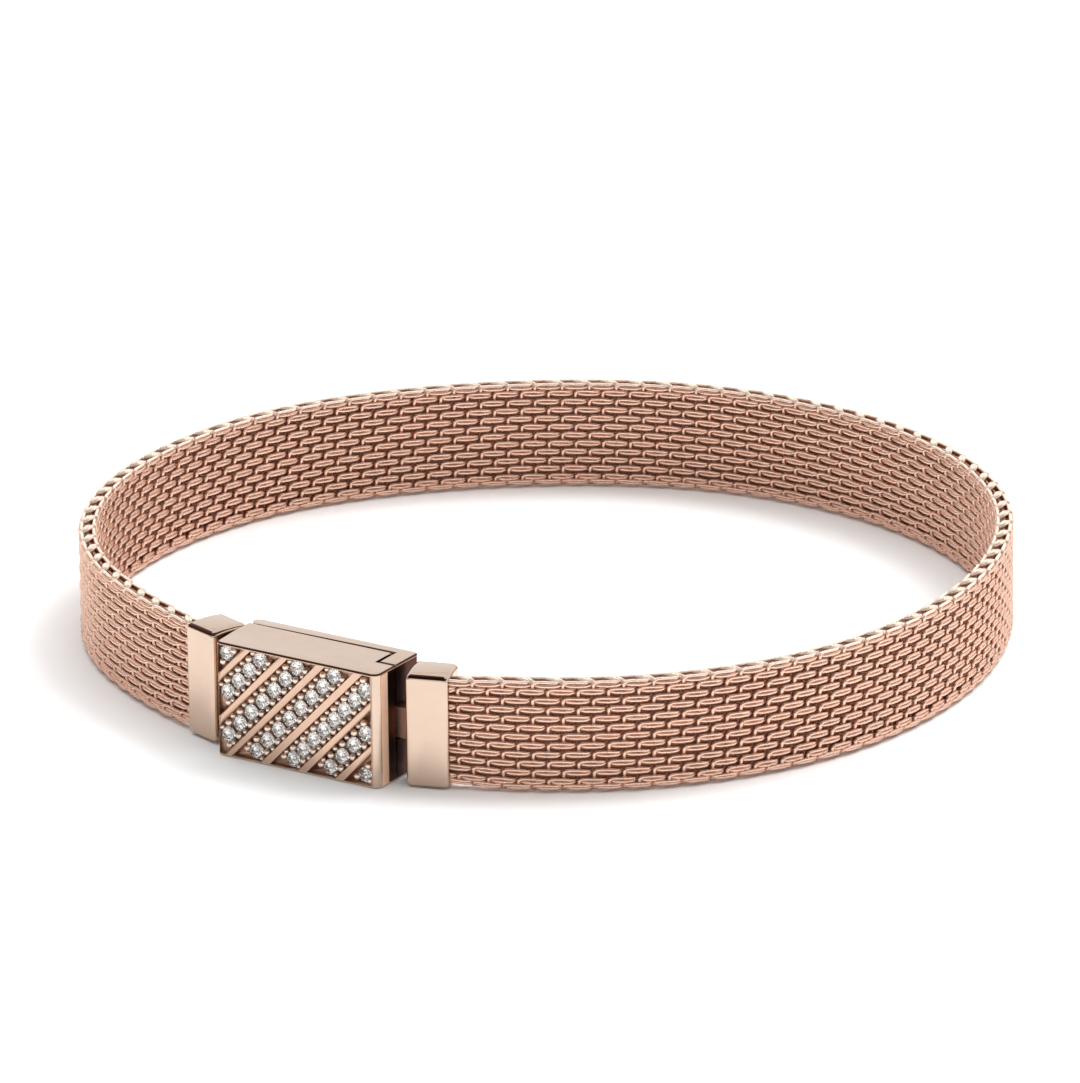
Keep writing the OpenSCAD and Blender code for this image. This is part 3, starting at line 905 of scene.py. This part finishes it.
def deselect_mesh(piece, kind):
    """Leaves nothing selected in the piece's mesh, with VERT or EDGE as the kind to select."""
    pick(piece)
    bpy.ops.object.mode_set(mode="EDIT")
    bpy.ops.mesh.select_mode(type=kind)
    bpy.ops.mesh.select_all(action="DESELECT")
    bpy.ops.object.mode_set(mode="OBJECT")


def round_edges(piece, width, segments, wanted):
    """Rounds the sharp edges whose middle passes the test."""
    deselect_mesh(piece, "EDGE")
    mesh = piece.data
    normals = {}
    for face in mesh.polygons:
        for key in face.edge_keys:
            normals.setdefault(key, []).append(face.normal.copy())
    limit = math.cos(math.radians(30))
    for edge in mesh.edges:
        a, b = (mesh.vertices[i].co for i in edge.vertices)
        sides = normals[edge.key]
        sharp = len(sides) == 2 and sides[0].dot(sides[1]) < limit
        edge.select = sharp and wanted((a + b) / 2, (b - a).normalized())
    if not any(edge.select for edge in mesh.edges):
        raise RuntimeError(f"{piece.name}: no edge to round")
    bpy.ops.object.mode_set(mode="EDIT")
    bpy.ops.mesh.bevel(offset=width, offset_type="OFFSET", segments=segments, profile=0.5,
                       affect="EDGES", clamp_overlap=False, miter_outer="SHARP")
    bpy.ops.object.mode_set(mode="OBJECT")


def finish_metal(piece, material, body, node):
    """Gives a polished copy its metal and its body, and hides the CAD node that it stands for."""
    pick(piece)
    bpy.ops.object.shade_smooth_by_angle(angle=math.radians(32))
    piece.data.materials.clear()
    piece.data.materials.append(material)
    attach(piece, body)
    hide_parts(node)


def add_metal(piece, material):
    """Adds one more metal to the piece, and returns its slot's number."""
    piece.data.materials.append(material)
    return len(piece.data.materials) - 1


def cut(direction, places):
    """Cuts the mesh in edit mode along planes across the direction, at these places along it."""
    for place in places:
        bpy.ops.mesh.select_all(action="SELECT")
        bpy.ops.mesh.bisect(plane_co=Vector(direction) * place, plane_no=direction)


def stone_places():
    """Middles of the stones, in the order of their names."""
    return [sum(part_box(name), Vector()) / 2 for name in STONES]


def channel_wall():
    """Where the channels end on the right, at the wide part of the frame."""
    return max(stone.x for stone in stone_places()) + settings().setting.wall


def cap_block(name, length, depth, high, low):
    """A block about its own middle whose top and bottom rise to a dome from front to back."""
    edges = settings().edges
    bpy.ops.mesh.primitive_cube_add(size=1, location=(0, 0, 0))
    piece = named(bpy.context.object, name)
    bpy.ops.object.mode_set(mode="EDIT")
    bpy.ops.transform.resize(value=(length, depth, high - low))
    rows = [depth * share / 2 for share in DOME_CUTS]
    cut((0, 1, 0), rows)
    bpy.ops.object.mode_set(mode="OBJECT")
    for y in [-depth / 2] + rows + [depth / 2]:
        deselect_mesh(piece, "VERT")
        for vertex in piece.data.vertices:
            vertex.select = abs(vertex.co.y - y) < edges.near / 4
        drop = 2 * edges.cap_dome * (2 * y / depth) ** 2 / (high - low)
        bpy.ops.object.mode_set(mode="EDIT")
        bpy.ops.transform.resize(value=(1, 1, 1 - drop), center_override=(0, 0, 0))
        bpy.ops.object.mode_set(mode="OBJECT")
    half = length / 2
    round_edges(piece, edges.cap_corner, 6,
                lambda place, along: abs(place.x) > half - edges.near and abs(along.y) > NEARLY)
    round_edges(piece, edges.cap, 4, lambda place, along: abs(place.y) > depth / 2 - edges.near)
    return piece


class BRACELET_OT_end_caps(bpy.types.Operator):
    """Makes the two end caps: domed blocks with rounded corners"""
    bl_idname = "bracelet.end_caps"
    bl_label = "End caps"

    def execute(self, context):
        turn = settings().edges.cap_turn
        material = plate_metal()
        for node, side in ((LEFT_CAP, -1), (RIGHT_CAP, 1)):
            low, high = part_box(node)
            middle = (low + high) / 2
            along = Vector((math.cos(turn), side * math.sin(turn), 0))
            out = Vector((side * math.sin(turn), -math.cos(turn), 0))
            corners = [v.co - middle for v in frame["nodes"][node].data.vertices]
            length = 2 * max(corner.dot(along) for corner in corners)
            depth = 2 * max(corner.dot(out) for corner in corners)
            piece = cap_block(f"polished_{node}", length, depth, high.z, low.z)
            piece.rotation_euler = (0, 0, side * turn)
            piece.location = middle
            apply_place(piece)
            finish_metal(piece, material, BODY, node)
            # painted dark reflection: the front-top rim faces get the near-black painted-shade metal,
            # for the dark line the room would mirror there
            painted_shade = add_metal(piece, painted_shade_metal())
            for face in piece.data.polygons:
                rim = ASLANT < face.normal.z < DOMED and face.normal.dot(out) > TOWARDS
                if rim and abs(face.normal.dot(along)) < ASLANT:
                    face.material_index = painted_shade
        return {"FINISHED"}


def paint_box(box, low, high, side, wall):
    """Gives the box's faces their metals: dull channels darkened with painted shade, a right side that
    is satin and paler with painted light down to the depth side and painted shade behind it, a painted
    dark reflection along the top rim, and warmer bars left of the wall."""
    edges = settings().edges
    near = edges.near
    channel = low.y + settings().setting.channel_depth
    field = settings().setting.frame - near
    extras = (shaded_recess_metal(), satin_painted_light_metal(), painted_shade_metal(), bar_metal())
    shaded_recess, satin_painted_light, painted_shade, bars = [add_metal(box, extra) for extra in extras]
    for face in box.data.polygons:
        depths = [box.data.vertices[i].co.y for i in face.vertices]
        middle = face.center
        front = middle.y < low.y + near / 4
        level = low.z + field < middle.z < high.z - field
        inside = level and low.x + field < middle.x < high.x - 3 * field
        # painted shade: the channels under the stones get the darker recess metal
        if inside and not front and max(depths) < channel + near:
            face.material_index = shaded_recess
        # the box's right side: satin with painted light in front, painted shade behind
        elif high.x - middle.x < near and face.normal.x > ALONG:
            face.material_index = satin_painted_light if middle.y < side else painted_shade
        # painted dark reflection along the top rim
        elif high.z - middle.z < edges.box and ASLANT < face.normal.z < ALONG:
            face.material_index = painted_shade
        elif front and face.normal.y < -ALONG and middle.x < wall:
            face.material_index = bars


class BRACELET_OT_clasp(bpy.types.Operator):
    """Rounds and polishes the clasp box and its lid"""
    bl_idname = "bracelet.clasp"
    bl_label = "Clasp"

    def execute(self, context):
        edges = settings().edges
        near = edges.near
        material = plate_metal()
        low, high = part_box("clasp_box")
        lid_low, lid_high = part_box("clasp_lid")
        front_part = low.y + 1 * MM
        lid_back = lid_high.y - 0.2 * MM

        def flat_end(place):
            return min(place.z - low.z, high.z - place.z) < near

        box = metal_copy("clasp_box", "polished_clasp_box")
        round_edges(box, edges.box, 4, lambda place, along: flat_end(place) and place.y < lid_low.y
                    and (place.y < front_part or min(place.x - low.x, high.x - place.x) < near))
        round_edges(box, edges.bars, 2, lambda place, along: abs(place.y - low.y) < near
                    and abs(along.x) > ASLANT and abs(along.z) > ASLANT)
        # the box's right side gets painted light in front of this depth and painted shade behind it
        side = low.y + edges.plate
        wall = channel_wall()
        pick(box)
        bpy.ops.object.mode_set(mode="EDIT")
        cut((0, 1, 0), [side])
        cut((1, 0, 0), [wall])
        bpy.ops.object.mode_set(mode="OBJECT")
        finish_metal(box, material, BODY, "clasp_box")
        paint_box(box, low, high, side, wall)

        lid = metal_copy("clasp_lid", "polished_clasp_lid")
        round_edges(lid, edges.box, 4, lambda place, along: flat_end(place)
                    and (place.y > lid_back or lid_high.x - place.x < near))
        round_edges(lid, edges.lid, 4, lambda place, along: flat_end(place)
                    and place.y < lid_back and lid_high.x - place.x > near
                    and place.x > lid_low.x + edges.plate)
        finish_metal(lid, material, LID, "clasp_lid")
        # painted shade on the lid's right side beside the cap, and a painted dark reflection along its
        # front top rim
        painted_shade = add_metal(lid, painted_shade_metal())
        for face in lid.data.polygons:
            aside = lid_high.x - face.center.x < near and face.normal.x > ALONG
            front = face.normal.x > TOWARDS or face.normal.y < -TOWARDS
            rim = high.z - face.center.z < edges.lid and ASLANT < face.normal.z < ALONG
            if aside or (rim and front):
                face.material_index = painted_shade
        return {"FINISHED"}


# Stones

def bead_model(radius):
    """One round bead about its own centre."""
    bpy.ops.mesh.primitive_uv_sphere_add(segments=10, ring_count=6, radius=radius,
                                         location=(0, 0, 0), rotation=(math.pi / 2, 0, 0))
    bead = bpy.context.object
    apply_place(bead)
    return bead


def bead_places():
    """Places of the beads that neighbouring stones share, and of the small ones beside each
    stone, in the stones' plane. The two stones alone in a corner have three beads each."""
    setting = settings().setting
    stones = stone_places()
    along = Vector((math.cos(setting.slant), 0, math.sin(setting.slant)))
    across = Vector((-along.z, 0, along.x))
    beads = []
    grains = []
    for k, stone in enumerate(stones):
        before = k > 0 and (stones[k - 1] - stone).length < setting.spacing
        after = k + 1 < len(stones) and (stones[k + 1] - stone).length < setting.spacing
        if not before and not after:
            reach = setting.corner * (1 if k == 0 else -1)
            for turn in map(math.radians, CORNER_BEADS):
                beads.append(stone + Vector((math.cos(turn), 0, math.sin(turn))) * reach)
            continue
        ends = [] if before else [stone - along * setting.end_reach]
        ends.append((stone + stones[k + 1]) / 2 if after else stone + along * setting.end_reach)
        for end in ends:
            beads += [end + across * setting.offset, end - across * setting.offset]
        grains += [stone + across * setting.grain_offset, stone - across * setting.grain_offset]
    return beads, grains


class BRACELET_OT_setting(bpy.types.Operator):
    """Sets the stones, with raised beads shared by neighbouring stones"""
    bl_idname = "bracelet.setting"
    bl_label = "Setting"

    def execute(self, context):
        setting = settings().setting
        low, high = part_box("clasp_box")
        floor_y = low.y + setting.channel_depth
        right_wall = channel_wall()
        beads, grains = bead_places()
        copies = []
        for radius, places in ((setting.bead, beads), (setting.grain, grains)):
            first = bead_model(radius)
            for place in places:
                # the bead stays inside the frame, and one that would move far is left out
                edge = setting.frame + radius
                x = min(max(place.x, low.x + edge), right_wall - radius)
                z = min(max(place.z, low.z + edge), high.z - edge)
                if math.hypot(x - place.x, z - place.z) > setting.shift:
                    continue
                y = floor_y - setting.height + radius
                pick(first)
                bpy.ops.object.duplicate()
                bpy.ops.transform.translate(value=(x, y, z))
                copies.append(bpy.context.object)
            bpy.data.objects.remove(first)
        pick(*copies)
        bpy.ops.object.join()
        piece = named(context.object, "setting_beads")
        apply_place(piece)
        bpy.ops.object.shade_smooth()
        piece.data.materials.append(bead_metal())
        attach(piece, BODY)
        return {"FINISHED"}


class BRACELET_OT_solids(bpy.types.Operator):
    """Gives the stones, the links and the hinge pin their finish"""
    bl_idname = "bracelet.solids"
    bl_label = "Stones and links"

    def execute(self, context):
        plate = plate_metal()
        stone = clear_stone()
        for name in ("left_link", "hinge_pin"):
            dress(name, plate)
        # painted shade: the tongue in the dark gap gets the darker recess metal
        dress("tongue", shaded_recess_metal())
        for name in STONES:
            dress(name, stone)
        return {"FINISHED"}


STEPS = (BRACELET_OT_stage, BRACELET_OT_woven_band, BRACELET_OT_end_caps, BRACELET_OT_clasp,
         BRACELET_OT_setting, BRACELET_OT_solids)


class BRACELET_PT_panel(bpy.types.Panel):
    """Lists the bracelet's settings and steps"""
    bl_idname = "BRACELET_PT_panel"
    bl_label = "Mesh Bracelet"
    bl_space_type = "VIEW_3D"
    bl_region_type = "UI"
    bl_category = "Bracelet"

    def draw(self, context):
        for name in BraceletSettings.__annotations__:
            box = self.layout.box()
            box.label(text=name.capitalize())
            group = getattr(context.scene.bracelet, name)
            for key in type(group).__annotations__:
                box.prop(group, key)
        for step in STEPS:
            self.layout.operator(step.bl_idname)


CLASSES = (StageSettings, WeaveSettings, MetalSettings, EdgeSettings, SettingSettings,
           BraceletSettings, *STEPS, BRACELET_PT_panel)


def register():
    for item in CLASSES:
        bpy.utils.register_class(item)
    bpy.types.Scene.bracelet = PointerProperty(type=BraceletSettings)


def unregister():
    del bpy.types.Scene.bracelet
    for item in reversed(CLASSES):
        bpy.utils.unregister_class(item)


def main():
    register()
    bpy.ops.bracelet.stage()
    bpy.ops.bracelet.woven_band()
    bpy.ops.bracelet.end_caps()
    bpy.ops.bracelet.clasp()
    bpy.ops.bracelet.setting()
    bpy.ops.bracelet.solids()


if __name__ == "__main__":
    main()
